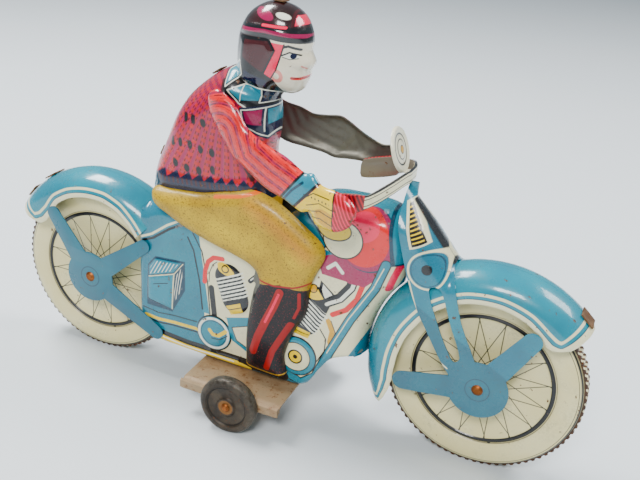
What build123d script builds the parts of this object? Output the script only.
"""Tin wind-up motorcycle with its rider.

Frame: X forward, Y to the rider's left, Z up, millimetres. The origin is on the floor, under the
middle of the whole toy. Right-hand pieces are modelled at negative Y and mirrored to make the left.
"""
from build123d import *
import os
from math import acos, atan2, cos, degrees, pi, radians, sin, sqrt, tan

# ---- driving dimensions -------------------------------------------------------------------------
WHEELBASE = 128.4       # between the two big axles
TYRE_R = 28.5           # over the tread ribs
TYRE_W = 8.4            # over the two side walls
RIM_R = 20.0            # where the side wall meets the spoke disc
TREAD_W = 5.6
TREAD_RIBS = 80
RIB_DEPTH = 0.45
SPOKE_DISC_INSET = 1.2  # how far the spoke disc lies inside the side wall
SHEET = 0.4             # tinplate
FLANK = 8.8             # middle plane to the outside of the machine's pressings
TYRE_TO_FENDER = 5.9    # radial gap from the tread to the outside of the fender's crown
FENDER_SHOULDER = 6.4   # radial height of the fender's rounded shoulder
TAIL_ANGLE = 147.5      # where the rear fender ends, about the rear axle
AXLE_R = 1.0            # big wheels' axles
RIVET_HEAD_R = 1.9
RIVET_HEAD_T = 0.8
RUN = 0.05              # radial running clearance on a shaft
SEAM = 0.1              # clearance between pressings laid on each other
RIM_INSET = 1.2         # how far a pressing's flank is drawn in over its rounded rim
RIM_RISE = 2.4
SEAT_V = 0.965          # seat height, as a share of the fender's crown above the bracket

SIDE_R = 9.0            # small side wheels
SIDE_W = 4.2
SIDE_AXLE_R = 0.9
SIDE_X = -4.0
BRACKET_HALF_Y = 21.5
BRACKET_REAR_X = -24.0
BRACKET_FRONT_X = 13.0
BRACKET_LIP = 2.9
BRACKET_SHEET = 0.6

TORSO_HALF = 10.6
HEAD_HALF = 8.4
LEG_HALF = 13.4
SHOULDER_ROOM = 0.3     # arm to torso
BAR_H, BAR_T = 3.2, 0.9
GRIP_Y = 18.3           # grips from the middle plane
LAMP_R = 6.3
FORK_BEND_V = 1.17      # height where the fork plates start to lean together
FORK_TOP_V = 1.345
FORK_TOP_Y = 3.4
TONGUE_X = (-8.0, 7.0)  # tongues that hold the bracket
TONGUE_W = 3.0

# ---- clockwork ----------------------------------------------------------------------------------
N_AXLE, N_BIG, N_SMALL, N_GREAT = 12, 40, 10, 48
SPRING_R = 9.2          # coiled mainspring
SPRING_TYRE_GAP = 1.3
SPRING_T = 0.35
SPRING_H = 8.0
SPRING_LEFT = 3.4       # how far the spring reaches to the left of the middle plane
SPRING_TURNS = 4.2
POST_R = 0.8
TRAIN_ANGLE = 6.0       # slope of the line through the three gear axes
PRESSURE_ANGLE = 25.0
ADDENDUM, DEDENDUM = 0.75, 1.0   # in modules
BACKLASH = 0.16         # in modules
PLATE_T = 0.6
PLATE_GAP = 0.5         # motor plate to the inside of the pressing
GEAR_T = 0.6
PILLAR_R = 1.2
ARBOR_R = 1.5
STUB_R = 0.9
RATCHET_R = 4.0
RATCHET_ROOT_R = 3.15
RATCHET_TEETH = 12
RATCHET_T = 0.6
CLICK_ANGLE = -4.0      # where the click's tip rests, about the arbor
KEY_STEM_R = 2.6
KEY_WING_R = 4.6
KEY_WING_T = 1.2
KEY_REACH = 25.0        # how far the key stands out from the middle plane
KEY_GAP = 1.2           # machine's flank to the key's stem

# ---- worked out from the driving dimensions -----------------------------------------------------
FENDER_R = TYRE_R + TYRE_TO_FENDER
AXLE_Z = TYRE_R
TAIL_REACH = max(TYRE_R, -FENDER_R * cos(radians(TAIL_ANGLE)))
AXLE_SHIFT = (TAIL_REACH - TYRE_R) / 2
REAR_X = AXLE_SHIFT - WHEELBASE / 2
FRONT_X = AXLE_SHIFT + WHEELBASE / 2
BRACKET_UNDER = SIDE_R + SIDE_AXLE_R + 0.2
BRACKET_TOP = BRACKET_UNDER + BRACKET_SHEET
CROWN_Z = AXLE_Z + FENDER_R
SEAT_Z = BRACKET_TOP + SEAT_V * (CROWN_Z - BRACKET_TOP)
FORK_Y = FLANK + SEAM                      # inner face of the fork plates
MODULE = 2 * (TYRE_R + SPRING_TYRE_GAP + SPRING_R) / (N_AXLE + N_BIG + N_SMALL + N_GREAT)
TYRE_HALF = TYRE_W / 2
BIG_GEAR_Y = TYRE_HALF + 0.5
GREAT_GEAR_Y = BIG_GEAR_Y + GEAR_T + 0.7
RATCHET_Y = GREAT_GEAR_Y - RATCHET_T - 0.3
LEFT_PLATE_Y = FLANK - SHEET - PLATE_GAP - PLATE_T
HAND_X, HAND_Z = FRONT_X - 42.2, SEAT_Z + 15.3


def machine(u, v):
    """A point of the machine's side view: u is -1 at the rear axle and 1 at the front axle,
    v is 0 at the bracket and 1 at the fender's crown."""
    return (AXLE_SHIFT + u * WHEELBASE / 2, BRACKET_TOP + v * (CROWN_Z - BRACKET_TOP))


HIP_X = machine(-0.39, 0)[0]               # middle of the rider's seat


def rider(dx, dz):
    """A point of the rider's side view, from the middle of the seat."""
    return (HIP_X + dx, SEAT_Z + dz)


def about(centre_x, angle, radius):
    """A side-view point given by its angle and distance from a big axle."""
    return (centre_x + radius * cos(radians(angle)), AXLE_Z + radius * sin(radians(angle)))


def side_face(points):
    """A face in the side view, from a closed outline of points."""
    return make_face(Polyline([Vector(*p) for p in points], close=True))


def prism(face, y_from, y_to):
    """The side-view face as a solid between two distances to the rider's right."""
    return extrude(Plane.XZ.offset(y_from) * face, y_to - y_from)


def cylinder(x, z, radius, y_from, y_to):
    """A cylinder along Y; y_from and y_to are distances to the rider's right."""
    return prism(Pos(x, z) * Circle(radius), y_from, y_to)


def ring(x, z, outer, inner, y_from, y_to):
    return cylinder(x, z, outer, y_from, y_to) - cylinder(x, z, inner, y_from, y_to)


def mirrored(shape):
    """The left-hand twin of a right-hand piece."""
    return mirror(shape, Plane.XZ)


def drawn(face, y_from, half):
    """A face drawn out to `half` with its rim sloped in over the last stretch."""
    shoulder = half - RIM_RISE
    slope = degrees(atan2(RIM_INSET, RIM_RISE))
    wall = prism(face, y_from, shoulder)
    return wall + extrude(Plane.XZ.offset(shoulder) * face, RIM_RISE, taper=slope)


def drawn_pair(outline, y_from, half):
    """The outside of a pressing and the hollow inside it, one sheet thickness in."""
    face = side_face(outline)
    hollow = drawn(offset(face, -SHEET, kind=Kind.INTERSECTION), y_from, half - SHEET)
    return drawn(face, y_from, half), hollow


# ---- big wheels ---------------------------------------------------------------------------------
def disc_profile():
    """Radius and half width along the outside of one pressed wheel disc, hub to tread."""
    inset = TYRE_HALF - SPOKE_DISC_INSET
    tread_r = TYRE_R - RIB_DEPTH - SHEET
    wall_mid, wall_half = (RIM_R + tread_r) / 2, (tread_r - RIM_R) / 2
    edge_y = TREAD_W / 2
    points = [(AXLE_R + SHEET, inset), (RIM_R - 0.9, inset), (RIM_R, inset + 0.5)]
    for step in range(1, 9):
        angle = pi - pi * step / 9
        crown = edge_y + (TYRE_HALF - edge_y) * sin(angle)
        points.append((wall_mid + wall_half * cos(angle), crown))
    return points + [(tread_r, edge_y)]


def wheel_disc(x, bore):
    """One pressed wheel disc with its flange turned in towards the middle plane."""
    outside = disc_profile()
    outside[0] = (bore, outside[0][1])
    tread_r, edge_y = outside[-1]
    inside = [(r, y - SHEET) for r, y in outside[:-1]] + [(tread_r - SHEET, edge_y - SHEET)]
    loop = outside + [(tread_r, SEAM / 2), (tread_r - SHEET, SEAM / 2)] + inside[::-1]
    face = make_face(Polyline([Vector(r, -y) for r, y in loop], close=True))
    return Pos(x, 0, AXLE_Z) * revolve(face, Axis.Y)


def tread_band(x):
    """The ribbed tin band that clasps the two discs' flanges."""
    valley = TYRE_R - RIB_DEPTH
    points = []
    for rib in range(TREAD_RIBS):
        for share, radius in ((0.0, valley), (0.2, TYRE_R), (0.5, TYRE_R), (0.7, valley)):
            angle = 2 * pi * (rib + share - 0.35) / TREAD_RIBS - pi / 2
            points.append((x + radius * cos(angle), AXLE_Z + radius * sin(angle)))
    band = prism(side_face(points), -TREAD_W / 2, TREAD_W / 2)
    return band - cylinder(x, AXLE_Z, valley - SHEET, -TREAD_W / 2, TREAD_W / 2)


def riveted_axle(x, z, radius, half, head_r, head_t):
    """A pin along Y with a peened head at each end; half is where a head's inner face lies."""
    pin = cylinder(x, z, radius, -half, half)
    for side in (-1, 1):
        head = Pos(x, 0, z) * Sphere(head_r * 1.1)
        head &= cylinder(x, z, head_r, -head_r, 0)
        drop = head_r * 1.1 - head_t
        cap = head & Pos(x, head_r + drop, z) * Box(4 * head_r, 2 * head_r, 4 * head_r)
        cap = Pos(0, half - drop, 0) * cap
        pin += cap if side > 0 else mirrored(cap)
    return pin


# ---- machine's pressings ------------------------------------------------------------------------
def fender_shell(x, start, end):
    """The C-shaped right half of a fender, turned about its axle from start to end angle."""
    shoulder_r = FENDER_R - FENDER_SHOULDER
    outer, inner = [], []
    for step in range(9):
        angle = pi / 2 * step / 8
        outer.append((shoulder_r + FENDER_SHOULDER * cos(angle), FLANK * sin(angle)))
        inner.append((shoulder_r + (FENDER_SHOULDER - SHEET) * cos(angle),
                      (FLANK - SHEET) * sin(angle)))
    skirt_r = RIM_R
    loop = outer + [(skirt_r, FLANK), (skirt_r, FLANK - SHEET)] + inner[::-1]
    face = make_face(Polyline([Vector(r, -y) for r, y in loop], close=True))
    shell = revolve(face, Axis.Y, end - start)
    return Pos(x, 0, AXLE_Z) * Rot(0, -end, 0) * shell


def fender_sheet(x, edge):
    """Side-view shape of a fender, given its lower edge as (angle, radius) points; it runs out
    past the crown at both ends."""
    beyond = 1.6 * FENDER_R
    first, last = edge[0][0], edge[-1][0]
    rim = [about(x, last + (first - last) * k / 8, beyond) for k in range(9)]
    points = [about(x, a, r * TYRE_R) for a, r in edge] + rim
    return side_face(points)


# lower edges: angle about the axle, radius as a share of the tyre's radius
FRONT_EDGE = [(41, 1.30), (41.5, 1.03), (44, 0.89), (49, 0.832), (56, 0.846), (68, 0.882),
              (85, 0.90), (105, 0.90), (125, 0.88), (145, 0.85), (165, 0.843), (180, 0.85),
              (192, 0.876), (199, 0.93), (205, 1.02), (207.5, 1.10), (207.8, 1.30)]
REAR_EDGE = [(42, 0.87), (55, 0.905), (67, 0.95), (79, 0.968), (92, 0.955), (106, 0.935),
             (118, 0.90), (128, 0.83), (137, 0.805), (143, 0.83), (146.4, 0.90),
             (147.3, 1.03), (147.5, 1.30)]


def hub_plate(x, arms, hub_r, arm_half):
    """A flat hub cover with tapered arms; each arm is (angle, reach, half width at its tip)."""
    plate = Pos(*about(x, 0, 0)) * Circle(hub_r)
    for angle, reach, tip in arms:
        root = [(hub_r * 0.55, -arm_half), (hub_r * 0.55, arm_half)]
        shape = root + [(reach - tip, tip), (reach - tip, -tip)]
        arm = make_face(Polyline([Vector(*p) for p in shape], close=True))
        arm += Pos(reach - tip, 0) * Circle(tip)
        plate += Pos(*about(x, 0, 0)) * Rot(0, 0, angle) * arm
    return plate


# side view of the engine and tank, as machine() points, on either side of the front fender
BODY_UNDER = [(-0.705, 0.115), (-0.66, 0.04), (-0.47, 0.017), (0.148, 0.006), (0.205, 0.03),
              (0.263, 0.152), (0.318, 0.245), (0.389, 0.288)]
BODY_OVER = [(0.62, 0.98), (0.60, 1.125), (0.50, 1.205), (0.31, 1.215), (0.19, 1.195),
             (0.10, 1.12), (0.03, 1.02), (-0.04, SEAT_V), (-0.40, SEAT_V), (-0.725, SEAT_V),
             (-0.715, 0.67)]


def tongue(x, width, room):
    """A tongue from the machine's right flank down through the bracket, or its slot."""
    low, high = BRACKET_UNDER - 0.8 - room, BRACKET_TOP + 5.0
    y = FLANK - SHEET / 2
    return Pos(x, -y, (low + high) / 2) * Box(width, SHEET + 2 * room, high - low)


def machine_half():
    """Right half of the machine: engine and tank flank, rear fender, hub cover and its stays."""
    outline = [machine(*p) for p in BODY_UNDER]
    outline += [about(FRONT_X, 180, 1.12 * TYRE_R), about(FRONT_X, 150, 1.05 * TYRE_R)]
    outline += [machine(*p) for p in BODY_OVER]
    front_room = FENDER_R + 3 * SEAM
    below = [machine(-1.2, -0.6), machine(0.235, -0.6), machine(0.195, 0.05), machine(-1.2, 0.20)]
    behind = [machine(-1.2, -0.1), machine(-0.66, -0.1), machine(-0.66, 0.955),
              machine(-1.2, 0.955)]
    outside, hollow = drawn_pair(outline, 0, FLANK)
    shell = outside - hollow
    for gap in (below, behind):
        shell -= prism(side_face(gap), 0, FLANK - SHEET)
    shell -= cylinder(FRONT_X, AXLE_Z, front_room, 0, FLANK)
    fender = fender_shell(REAR_X, REAR_EDGE[0][0], REAR_EDGE[-1][0] + 5)
    fender &= prism(fender_sheet(REAR_X, REAR_EDGE), 0, FLANK)
    fender -= hollow
    fender -= prism(side_face(behind[1:3] + [machine(-0.2, 0.955), machine(-0.2, -0.1)]), 0,
                    FLANK - SHEET)
    arms = [(125, 0.905 * TYRE_R, 2.4), (38, 0.98 * TYRE_R, 2.2), (-28, 1.08 * TYRE_R, 2.6)]
    stays = prism(hub_plate(REAR_X, arms, 8.6, 3.6), FLANK - SHEET, FLANK)
    half = shell + fender + stays
    for x in TONGUE_X:
        half += tongue(x, TONGUE_W, 0)
    half -= cylinder(REAR_X, AXLE_Z, AXLE_R + RUN, 0, FLANK)
    return half


def front_fender_half():
    shell = fender_shell(FRONT_X, FRONT_EDGE[0][0] - 5, FRONT_EDGE[-1][0] + 5)
    return shell & prism(fender_sheet(FRONT_X, FRONT_EDGE), 0, FLANK)


def fork_lean():
    """How far the fork plate's upper part leans in, in degrees, and its height at the bend."""
    bend_z, top_z = machine(0, FORK_BEND_V)[1], machine(0, FORK_TOP_V)[1]
    lean = (FORK_Y + SHEET - FORK_TOP_Y) / (top_z - bend_z)
    return lean, bend_z


def fork_plate():
    """Right fork plate: hub cover, two fender stays, the slotted leg and the head."""
    arms = [(58, 0.875 * TYRE_R, 2.7), (190, 0.86 * TYRE_R, 2.9)]
    plate = hub_plate(FRONT_X, arms, 8.6, 3.6)
    leg = [machine(0.715, 0.66), machine(0.655, 0.80), machine(0.60, 0.98),
           machine(0.555, FORK_BEND_V), machine(0.715, FORK_BEND_V), machine(0.80, 1.045), machine(0.835, 0.88),
           machine(0.885, 0.70), machine(0.985, 0.46), about(FRONT_X, 180, 6.0)]
    plate += side_face(leg)
    slot_top, slot_low = machine(0.755, 0.83), machine(0.885, 0.49)
    slot = make_hull([e for p, r in ((slot_top, 1.9), (slot_low, 1.3))
                      for e in (Pos(*p) * Circle(r)).edges()])
    plate -= slot
    shape = prism(plate, FORK_Y, FORK_Y + SHEET)
    lean, bend_z = fork_lean()
    head = side_face([machine(0.555, FORK_BEND_V), machine(0.715, FORK_BEND_V), machine(0.62, FORK_TOP_V),
                      machine(0.545, FORK_TOP_V)])
    slab = prism(head, 0, FORK_Y + SHEET)
    reach = 4 * FLANK
    run = reach / sqrt(1 + lean * lean)
    rise = Vector(0, lean * run, run)
    corner = Vector(0, -(FORK_Y + SHEET), bend_z)
    inner = Vector(0, -FORK_Y, bend_z)
    wedge = make_face(Plane.YZ * Polyline([(p.Y, p.Z) for p in (inner, corner, corner + rise,
                                                                inner + rise)], close=True))
    leaning = extrude(wedge, 2 * WHEELBASE, both=True)
    shape += slab & leaning
    boss = machine(0.705, 0.95)
    shape -= cylinder(*boss, 1.0, FORK_Y, FORK_Y + SHEET)
    shape -= cylinder(FRONT_X, AXLE_Z, AXLE_R, 0, FORK_Y + SHEET)
    return shape


# ---- handlebar and lamp -------------------------------------------------------------------------
BAR_Z = machine(0, FORK_TOP_V)[1] + BAR_H / 2 + SEAM
BAR_X = machine(0.555, 0)[0]
BAR_PATH = [(BAR_X, 0.0, BAR_Z), (BAR_X - 0.6, 4.6, BAR_Z),
            (BAR_X - 6.5, GRIP_Y + 0.1, BAR_Z - 3.6), (HAND_X + 2.0, GRIP_Y + 0.2, HAND_Z + 1.2),
            (HAND_X - 6.5, GRIP_Y - 1.7, HAND_Z - 1.2)]


def handlebar():
    """One bent tin strip: the middle, the two swept arms and the two grips."""
    strip = None
    for p, q in zip(BAR_PATH, BAR_PATH[1:]):
        a, b = Vector(p[0], -p[1], p[2]), Vector(q[0], -q[1], q[2])
        along = (b - a).normalized()
        across = Vector(0, 0, 1).cross(along).normalized()
        run = Plane(origin=(a + b) / 2, x_dir=along, z_dir=across)
        piece = run * Box((b - a).length, BAR_H, BAR_T)
        for end in (a, b):
            piece += Plane(origin=end, x_dir=along, z_dir=along.cross(across)) * Cylinder(
                BAR_T / 2, BAR_H)
        strip = piece if strip is None else strip + piece
    return strip + mirrored(strip)


def lamp():
    """Dished lamp disc on a tab that hooks over the middle of the handlebar."""
    x, z = BAR_X - 3.8, BAR_Z + BAR_H / 2 + LAMP_R - 1.2
    disc = Pos(x, 0, z) * Rot(0, 90, 0) * Cylinder(LAMP_R, 1.2)
    disc -= Pos(x - 0.5, 0, z) * Rot(0, 90, 0) * Cylinder(LAMP_R - SHEET, 1.0)
    foot_z = BAR_Z + BAR_H / 2 + SHEET / 2
    tab_x = BAR_X + BAR_T / 2
    tab = Pos((x + tab_x) / 2, 0, foot_z) * Box(tab_x - x, 3.0, SHEET)
    tab += Pos(x + 0.4, 0, foot_z + 0.5) * Box(SHEET, 3.0, 1.4)
    return disc + tab


# ---- rider --------------------------------------------------------------------------------------
TORSO = [(-18.7, SEAM), (-17.6, 9.5), (-14.4, 17.2), (-10.8, 26.8), (-6.8, 32.6), (-1.4, 37.8),
         (3.7, 41.4), (8.2, 43.2), (18.2, 38.0), (20.2, 34.0), (20.6, 27.0), (19.9, 20.0),
         (20.8, 14.0), (22.4, 8.6), (22.0, SEAM)]
HEAD = [(7.6, 41.5), (7.4, 48.0), (8.1, 53.6), (11.0, 58.8), (16.2, 61.4), (21.4, 61.1),
        (26.3, 58.3), (28.4, 54.0), (28.8, 50.6), (30.3, 46.4), (28.6, 45.0), (28.7, 41.8),
        (27.6, 38.6), (24.6, 37.6), (20.6, 37.4), (19.4, 33.0), (12.5, 36.0)]
LEG = [(-14.6, 0.2), (-9.0, -2.8), (-4.2, -5.5), (6.0, -8.9), (16.2, -11.0), (22.4, -13.6),
       (20.2, -19.5), (18.5, -33.5), (19.2, -46.0), (25.5, -47.3), (31.6, -47.2), (32.4, -44.6),
       (30.9, -40.0), (33.9, -30.5), (37.2, -23.8), (38.0, -13.6), (41.4, -4.6), (40.0, -1.2),
       (25.6, 8.8), (18.5, 10.6), (2.0, 6.4), (-14.8, 4.6)]
ARM = [(4.0, 36.6), (6.9, 38.2), (13.1, 34.5), (16.6, 29.7), (21.9, 27.1), (28.9, 25.2),
       (34.7, 22.5), (39.7, 20.3), (46.2, 20.1), (49.0, 18.4), (49.8, 15.0), (47.6, 11.1),
       (44.7, 9.2), (38.6, 9.6), (36.4, 12.8), (29.5, 13.4), (23.9, 14.7), (17.5, 17.9),
       (11.6, 21.5), (7.1, 27.3), (3.9, 33.8)]
SHOULDER_DX = 4.0
SHOULDER_TAB = (7.0, 33.0)
TAB_W = 3.0


def rider_half():
    """Right half of the rider: head, torso and the leg that hangs outside the machine."""
    under = [rider(-16.0, -1.0), rider(21.4, -1.0), rider(21.4, 2.0), rider(-16.0, 2.0)]
    torso, torso_in = drawn_pair([rider(*p) for p in TORSO], 0, TORSO_HALF)
    head, head_in = drawn_pair([rider(*p) for p in HEAD], 0, HEAD_HALF)
    leg, leg_in = drawn_pair([rider(*p) for p in LEG], FLANK + SEAM, LEG_HALF)
    half = (torso + head + leg) - torso_in - head_in - leg_in
    half -= prism(side_face(under), 0, TORSO_HALF - RIM_RISE)
    slot_x, slot_z = rider(*SHOULDER_TAB)
    half -= Pos(slot_x, -TORSO_HALF, slot_z) * Box(TAB_W + 2 * SEAM, 4, SHEET + 2 * SEAM)
    return half


def arm():
    """Right arm: a flat tin cut-out from the shoulder to the gloved hand, tabbed to the torso."""
    start_x = rider(SHOULDER_DX, 0)[0]
    start_y = TORSO_HALF + SHOULDER_ROOM
    palm_x, palm_y = HAND_X, GRIP_Y + 2.1
    spread = (palm_y - start_y) / (palm_x - start_x)
    along = Vector(1, -spread, 0).normalized()
    stretch = (palm_x - start_x) / (rider(44.0, 0)[0] - start_x)
    lift = HAND_Z - rider(0, 15.3)[1]
    points = []
    for dx, dz in ARM:
        share = (dx - SHOULDER_DX) / (44.0 - SHOULDER_DX)
        x, z = rider(dx, dz)
        points.append(((x - start_x) * stretch / along.X, z + lift * share))
    sheet = Plane(origin=(start_x, -start_y, 0), x_dir=along, z_dir=along.cross(Vector(0, 0, 1)))
    plate = extrude(sheet * side_face(points), SHEET)
    slot_x, slot_z = rider(*SHOULDER_TAB)
    tab_y = start_y + spread * (slot_x - start_x + TAB_W / 2) + SHEET / 2
    tab_in = TORSO_HALF - SHEET - 1.0
    tab = Pos(slot_x, -(tab_y + tab_in) / 2, slot_z) * Box(TAB_W, tab_y - tab_in, SHEET)
    return plate + tab


# ---- bracket and side wheels --------------------------------------------------------------------
def bracket():
    """Cross plate under the machine, with lips that carry the side wheels' axle."""
    length, width = BRACKET_FRONT_X - BRACKET_REAR_X, 2 * BRACKET_HALF_Y
    middle = (BRACKET_FRONT_X + BRACKET_REAR_X) / 2
    plate = Pos(middle, 0, BRACKET_UNDER) * extrude(RectangleRounded(length, width, 3.0),
                                                    BRACKET_SHEET)
    for side in (-1, 1):
        lip_y = side * (BRACKET_HALF_Y - BRACKET_SHEET / 2)
        plate += Pos(middle, lip_y, BRACKET_TOP - BRACKET_LIP / 2) * Box(
            length - 6.0, BRACKET_SHEET, BRACKET_LIP)
    for x in TONGUE_X:
        slot = tongue(x, TONGUE_W + 2 * SEAM, SEAM)
        plate -= slot + mirrored(slot)
    return plate - cylinder(SIDE_X, SIDE_R, SIDE_AXLE_R, -BRACKET_HALF_Y, BRACKET_HALF_Y)


SIDE_INNER = BRACKET_HALF_Y + 0.35


def side_wheel():
    """Right side wheel with a stepped face and a boss."""
    outer = SIDE_INNER + SIDE_W
    wheel = cylinder(SIDE_X, SIDE_R, SIDE_R, SIDE_INNER, outer)
    wheel = fillet([e for e in wheel.edges() if e.geom_type == GeomType.CIRCLE], 0.7)
    wheel -= ring(SIDE_X, SIDE_R, 0.70 * SIDE_R, 0.32 * SIDE_R, outer - 0.6, outer)
    return wheel - cylinder(SIDE_X, SIDE_R, SIDE_AXLE_R + RUN, SIDE_INNER, outer)


# ---- clockwork ----------------------------------------------------------------------------------
def gear_face(teeth, turned):
    """Involute gear outline, with a tooth centred on the angle `turned`."""
    pitch_r = MODULE * teeth / 2
    base_r = pitch_r * cos(radians(PRESSURE_ANGLE))
    tip_r, root_r = pitch_r + ADDENDUM * MODULE, pitch_r - DEDENDUM * MODULE

    def half_angle(radius):
        slope = acos(min(1.0, base_r / radius))
        at_pitch = radians(PRESSURE_ANGLE)
        wide = pi / (2 * teeth) - BACKLASH * MODULE / (2 * pitch_r)
        return wide + (tan(at_pitch) - at_pitch) - (tan(slope) - slope)

    start_r = max(base_r, root_r)
    flank = [start_r + (tip_r - start_r) * k / 4 for k in range(5)]
    points = []
    for tooth in range(teeth):
        middle = radians(turned) + 2 * pi * tooth / teeth
        foot = (half_angle(start_r) + pi / teeth) / 2
        sides = [(root_r, foot)] + [(r, half_angle(r)) for r in flank]
        for r, spread in sides:
            points.append((r * cos(middle - spread), r * sin(middle - spread)))
        for r, spread in sides[::-1]:
            points.append((r * cos(middle + spread), r * sin(middle + spread)))
    return side_face(points)


def train_point(distance):
    """A point on the line of gear axes, measured from the rear axle."""
    return about(REAR_X, TRAIN_ANGLE, distance)


BIG_AT = MODULE * (N_AXLE + N_BIG) / 2
ARBOR_AT = BIG_AT + MODULE * (N_SMALL + N_GREAT) / 2


def left_gear(at, teeth, turned, y_from, thick, bore):
    """A gear on the rider's left; y_from is its inner face's distance from the middle plane."""
    blank = prism(Pos(*train_point(at)) * gear_face(teeth, turned), -(y_from + thick), -y_from)
    return blank - cylinder(*train_point(at), bore, -(y_from + thick), -y_from)


def pillar_points():
    x, z = train_point(ARBOR_AT)
    clear = MODULE * (N_GREAT / 2 + ADDENDUM) + PILLAR_R + 0.9
    return [(x + clear * cos(radians(a)), z + clear * sin(radians(a))) for a in (104, 24, -26)]


def motor_plate(y_from, y_to, with_stub):
    """A clockwork side plate, wrapped round its pillars and bearings."""
    spots = [(p, 3.4) for p in pillar_points()] + [(train_point(ARBOR_AT), 5.0)]
    if with_stub:
        spots.append((train_point(BIG_AT), 3.6))
    wrap = make_hull([e for p, r in spots for e in (Pos(*p) * Circle(r)).edges()])
    plate = prism(wrap, y_from, y_to)
    plate -= cylinder(*train_point(ARBOR_AT), ARBOR_R + RUN, y_from, y_to)
    for p in pillar_points():
        plate -= cylinder(*p, PILLAR_R * 0.7, y_from, y_to)
    if with_stub:
        plate -= cylinder(*train_point(BIG_AT), STUB_R, y_from, y_to)
    return plate


def pillars():
    """Three shouldered pillars between the motor plates."""
    made = []
    outer = LEFT_PLATE_Y + PLATE_T
    for p in pillar_points():
        post = cylinder(*p, PILLAR_R, -LEFT_PLATE_Y, LEFT_PLATE_Y)
        made.append(post + cylinder(*p, PILLAR_R * 0.7, -outer, outer))
    return Compound(made)


def spring_post():
    x, z = train_point(ARBOR_AT)
    reach = SPRING_R + POST_R + SEAM / 5
    at = (x + reach * cos(radians(-60)), z + reach * sin(radians(-60)))
    return cylinder(*at, POST_R, -SPRING_LEFT, LEFT_PLATE_Y)


def mainspring():
    """The coiled spring, run down, from the arbor to its post."""
    x, z = train_point(ARBOR_AT)
    start_r, end_r = ARBOR_R + RUN + SPRING_T / 2, SPRING_R - SPRING_T / 2
    steps = 64
    inner, outer = [], []
    for k in range(steps + 1):
        angle = -pi / 3 - 2 * pi * SPRING_TURNS * (1 - k / steps)
        radius = start_r + (end_r - start_r) * k / steps
        for line, r in ((inner, radius - SPRING_T / 2), (outer, radius + SPRING_T / 2)):
            line.append((x + r * cos(angle), z + r * sin(angle)))
    band = make_face([Spline([Vector(*p) for p in inner]), Line(inner[-1], outer[-1]),
                      Spline([Vector(*p) for p in outer]), Line(outer[0], inner[0])])
    return prism(band, -SPRING_LEFT, SPRING_H - SPRING_LEFT)


def stub():
    """The fixed pin that the idler turns on, riveted into the left plate."""
    at = train_point(BIG_AT)
    pin = cylinder(*at, STUB_R, -(LEFT_PLATE_Y + PLATE_T), -(BIG_GEAR_Y - 0.1))
    return pin + cylinder(*at, STUB_R + 0.6, -(BIG_GEAR_Y - 0.1), -(BIG_GEAR_Y - 0.5))


def idler():
    """The big gear with the small pinion on it, turning on the stub."""
    bore = STUB_R + RUN
    big = left_gear(BIG_AT, N_BIG, TRAIN_ANGLE + 180 + 180 / N_BIG, BIG_GEAR_Y, GEAR_T, bore)
    small_y = BIG_GEAR_Y + GEAR_T
    small = left_gear(BIG_AT, N_SMALL, TRAIN_ANGLE, small_y, GREAT_GEAR_Y + GEAR_T - small_y,
                      bore)
    return big + small


def great_wheel():
    turned = TRAIN_ANGLE + 180 + 180 / N_GREAT
    wheel = left_gear(ARBOR_AT, N_GREAT, turned, GREAT_GEAR_Y, GEAR_T, ARBOR_R + RUN)
    x, z = train_point(ARBOR_AT)
    mid_r = 0.62 * MODULE * N_GREAT / 2
    for k in range(3):
        angle = radians(120 * k + 50)
        wheel -= cylinder(x + mid_r * cos(angle), z + mid_r * sin(angle), 3.0,
                          -(GREAT_GEAR_Y + GEAR_T), -GREAT_GEAR_Y)
    return wheel


def ratchet():
    """Saw-toothed wheel pressed on the arbor; its steep faces look down at the click's tip."""
    x, z = train_point(ARBOR_AT)
    points = []
    for k in range(RATCHET_TEETH):
        for share, radius in ((0.0, RATCHET_ROOT_R), (0.1, RATCHET_R)):
            angle = 2 * pi * (k + share) / RATCHET_TEETH + radians(CLICK_ANGLE)
            points.append((x + radius * cos(angle), z + radius * sin(angle)))
    blank = prism(side_face(points), -(RATCHET_Y + RATCHET_T), -RATCHET_Y)
    return blank - cylinder(x, z, ARBOR_R, -(RATCHET_Y + RATCHET_T), -RATCHET_Y)


def click_spring():
    """A leaf riveted to the great wheel whose tip rests in a tooth of the ratchet."""
    x, z = train_point(ARBOR_AT)
    tip = radians(CLICK_ANGLE - 2)
    anchor = (x - 2.2, z - 2.55 * RATCHET_R)
    knee = (x + RATCHET_R + 0.3, z - 1.6 * RATCHET_R)
    leaf = side_face([(anchor[0], anchor[1] + 0.9), knee,
                      (x + 3.4 * cos(tip), z + 3.4 * sin(tip)),
                      (x + 3.9 * cos(tip), z + 3.9 * sin(tip)),
                      (knee[0] + 0.6, knee[1] - 0.5), (anchor[0], anchor[1] - 0.9)])
    leaf += Pos(*anchor) * Circle(1.3)
    return prism(leaf, -(GREAT_GEAR_Y - SEAM / 2), -RATCHET_Y)


KEY_STEM_TO = KEY_REACH - 2 * KEY_WING_R + 2.0
ARBOR_END = KEY_STEM_TO - 3.0


def arbor():
    x, z = train_point(ARBOR_AT)
    return cylinder(x, z, ARBOR_R, -ARBOR_END, LEFT_PLATE_Y + PLATE_T)


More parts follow.
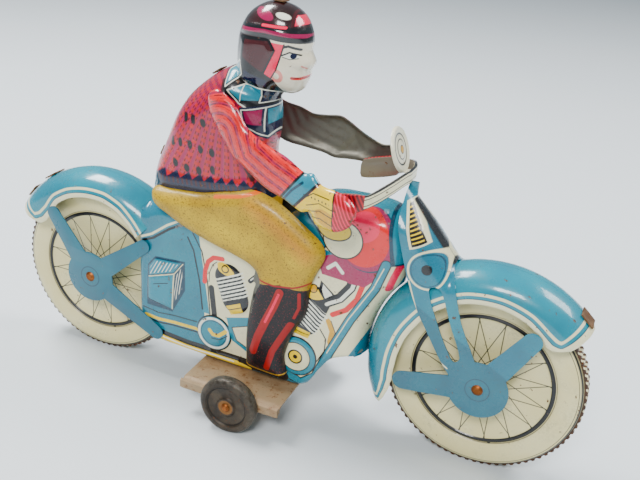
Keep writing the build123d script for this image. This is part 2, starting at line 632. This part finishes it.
def key():
    """Winding key: a stem pressed on the arbor and two rounded wings."""
    x, z = train_point(ARBOR_AT)
    stem_from = FLANK + KEY_GAP
    stem = cylinder(x, z, KEY_STEM_R, -KEY_STEM_TO, -stem_from)
    stem -= cylinder(x, z, ARBOR_R, -ARBOR_END, -stem_from)
    centre_y = KEY_REACH - KEY_WING_R
    wings = None
    for side in (-1, 1):
        at = Pos(x, centre_y, z + side * (KEY_WING_R - 0.4)) * Rot(0, 90, 0)
        lobe = at * (Cylinder(KEY_WING_R, KEY_WING_T) - Cylinder(KEY_WING_R * 0.45, KEY_WING_T))
        wings = lobe if wings is None else wings + lobe
    return stem + wings


# ---- seam tabs ----------------------------------------------------------------------------------
def tab_on(x, z, slope, y=0.0, size=(4.6, 5.0)):
    """A folded tongue lying on a seam; slope is its lean in the side view, in degrees."""
    return Pos(x, y, z) * Rot(0, -slope, 0) * Box(size[0], size[1], SHEET)


def fender_tabs():
    made = []
    lift = FENDER_R + SHEET / 2 + SEAM / 2
    for centre, angle in ((REAR_X, 141), (REAR_X, 124), (FRONT_X, 47)):
        x, z = about(centre, angle, lift)
        made.append(tab_on(x, z, angle - 90))
    return made


def rider_tabs():
    made = []
    for (dx, dz), slope in (((18.8, 61.45), -2), ((1.2, 39.9), 35), ((-16.3, 13.2), 67)):
        away = SHEET / 2 + SEAM
        x, z = rider(dx - away * sin(radians(slope)), dz + away * cos(radians(slope)))
        made.append(tab_on(x, z, slope, size=(3.2, 3.6)))
    return Compound(made)


def save(node, shape):
    export_step(shape, f"parts/{node}.step")


def main():
    os.makedirs("parts", exist_ok=True)
    pair = {"machine_half": machine_half(), "front_fender": front_fender_half(),
            "fork_plate": fork_plate(), "rider_half": rider_half(), "arm": arm(),
            "side_wheel": side_wheel()}
    for node, shape in pair.items():
        left = mirrored(shape)
        if node == "machine_half":
            x, z = train_point(ARBOR_AT)
            left -= cylinder(x, z, ARBOR_R + 4 * RUN, -FLANK, -(FLANK - 2 * SHEET))
        save(node + "_right", shape)
        save(node + "_left", left)
    save("handlebar", handlebar())
    save("lamp", lamp())
    tabs = fender_tabs()
    save("rear_fender_tabs", Compound(tabs[:2]))
    save("front_fender_tab", tabs[2])
    save("rider_seam_tabs", rider_tabs())
    for name, x, bore in (("front", FRONT_X, AXLE_R + RUN + SHEET), ("rear", REAR_X, AXLE_R)):
        disc = wheel_disc(x, bore)
        save(f"{name}_wheel_disc_right", disc)
        save(f"{name}_wheel_disc_left", mirrored(disc))
        save(f"{name}_wheel_tread", tread_band(x))
    hub_half = FORK_Y - 0.4
    save("front_hub_tube", ring(FRONT_X, AXLE_Z, AXLE_R + RUN + SHEET, AXLE_R + RUN, -hub_half,
                                hub_half))
    save("front_axle", riveted_axle(FRONT_X, AXLE_Z, AXLE_R, FORK_Y + SHEET, RIVET_HEAD_R,
                                    RIVET_HEAD_T))
    save("rear_axle", riveted_axle(REAR_X, AXLE_Z, AXLE_R, FLANK + SEAM, RIVET_HEAD_R,
                                   RIVET_HEAD_T))
    save("side_axle", riveted_axle(SIDE_X, SIDE_R, SIDE_AXLE_R, SIDE_INNER + SIDE_W + SEAM,
                                   1.5, 0.7))
    save("bracket", bracket())
    save("motor_plate_right", motor_plate(LEFT_PLATE_Y, LEFT_PLATE_Y + PLATE_T, False))
    save("motor_plate_left", motor_plate(-(LEFT_PLATE_Y + PLATE_T), -LEFT_PLATE_Y, True))
    save("motor_pillars", pillars())
    save("spring_post", spring_post())
    save("mainspring", mainspring())
    save("idler_stub", stub())
    save("idler_gear", idler())
    save("axle_pinion", left_gear(0, N_AXLE, TRAIN_ANGLE, BIG_GEAR_Y - 0.2, GEAR_T + 0.4, AXLE_R))
    save("great_wheel", great_wheel())
    save("ratchet_wheel", ratchet())
    save("click_spring", click_spring())
    save("winding_arbor", arbor())
    save("winding_key", key())


main()
